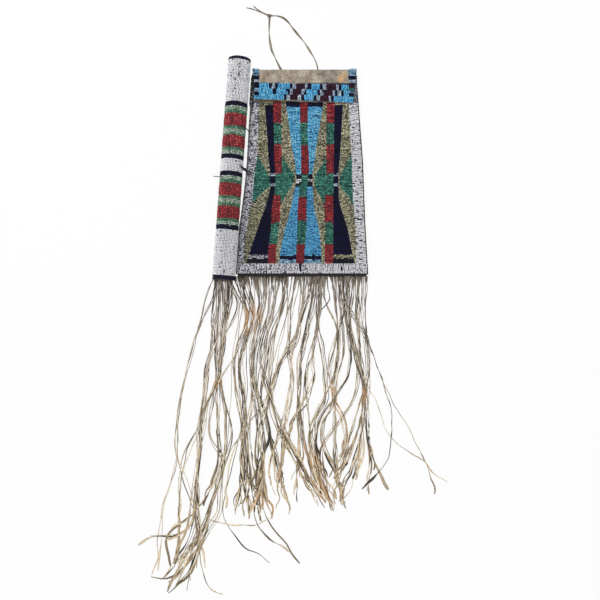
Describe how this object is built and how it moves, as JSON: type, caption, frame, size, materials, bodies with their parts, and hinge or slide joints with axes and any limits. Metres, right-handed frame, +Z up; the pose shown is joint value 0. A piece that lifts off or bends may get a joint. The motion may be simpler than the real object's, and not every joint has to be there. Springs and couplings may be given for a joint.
{
  "type": "beaded pipe bag",
  "caption": "Flat hide pouch lying on its back, with a beaded front, a hinged beaded flap, a beaded tube laced to one side, a hanging thong and long cut fringe",
  "frame": {"origin": "on the surface the bag lies on, under the middle of the pouch between its top fold and its bottom seam", "axes": "+Z up, out of the beaded front; +Y towards the top fold and the hanging thong, with the fringe along -Y; +X to the right seen from above, with the beaded tube on the -X side"},
  "size_m": [0.3863, 0.7321, 0.0276],
  "materials": {
    "hide": "soft tanned hide",
    "fringe_hide": "soft tanned hide, darkened",
    "dark_lace": "dark narrow lace",
    "white_beads": "small opaque glass beads",
    "speckled_beads": "small opaque glass beads, black and white",
    "khaki_beads": "small opaque glass beads",
    "navy_beads": "small opaque glass beads",
    "blue_beads": "small opaque glass beads",
    "green_beads": "small opaque glass beads",
    "red_beads": "small opaque glass beads",
    "sage_beads": "small opaque glass beads",
    "maroon_beads": "small opaque glass beads"
  },
  "bodies": {
    "bag": {"back_panel": "hide", "front_panel": "hide", "edge_roll_left": "speckled_beads", "edge_binding_right": "dark_lace", "white_border": "white_beads", "khaki_outer_left_upper": "khaki_beads", "khaki_outer_left_lower": "khaki_beads", "khaki_inner_left_upper": "khaki_beads", "khaki_inner_left_lower": "khaki_beads", "khaki_outer_right_upper": "khaki_beads", "khaki_outer_right_lower": "khaki_beads", "khaki_inner_right_upper": "khaki_beads", "khaki_inner_right_lower": "khaki_beads", "navy_left": "navy_beads", "navy_right": "navy_beads", "blue_left": "blue_beads", "blue_right": "blue_beads", "green_outer_left": "green_beads", "green_outer_right": "green_beads", "green_inner_left": "green_beads", "green_inner_right": "green_beads", "green_left_upper": "green_beads", "green_left_lower": "green_beads", "green_right_upper": "green_beads", "green_right_lower": "green_beads", "green_centre_upper": "green_beads", "green_centre_waist": "green_beads", "green_centre_lower": "green_beads", "bar_left": "red_beads", "bar_centre": "red_beads", "bar_right": "red_beads", "flap_fold": "hide", "tube_sleeve": "sage_beads", "tube_rim_top": "navy_beads", "tube_rim_bottom": "navy_beads", "tube_white_top": "white_beads", "tube_white_middle": "white_beads", "tube_white_bottom": "white_beads", "tube_red_1": "red_beads", "tube_red_2": "red_beads", "tube_red_3": "red_beads", "tube_red_4": "red_beads", "thong_left": "hide", "thong_right": "hide", "thong_knot": "hide", "tie_upper": "dark_lace", "tie_lower": "dark_lace", "bag_fringe_back": "fringe_hide", "bag_fringe_middle": "fringe_hide", "bag_fringe_front": "fringe_hide", "tube_fringe_back": "fringe_hide", "tube_fringe_front": "fringe_hide"},
    "flap": {"flap_hide": "hide", "flap_lane_left": "navy_beads", "flap_lane_right": "navy_beads", "flap_band_left": "blue_beads", "flap_band_middle": "blue_beads", "flap_band_right": "blue_beads", "flap_figure_left": "maroon_beads", "flap_figure_right": "maroon_beads"}
  },
  "joints": [
    {"name": "flap_hinge", "type": "hinge", "parent": "bag", "child": "flap", "pos_m": [0, 0.12225, 0.00475], "axis": [-1, 0, 0], "range_deg": [0, 120], "deforming": ["flap_fold"]}
  ]
}
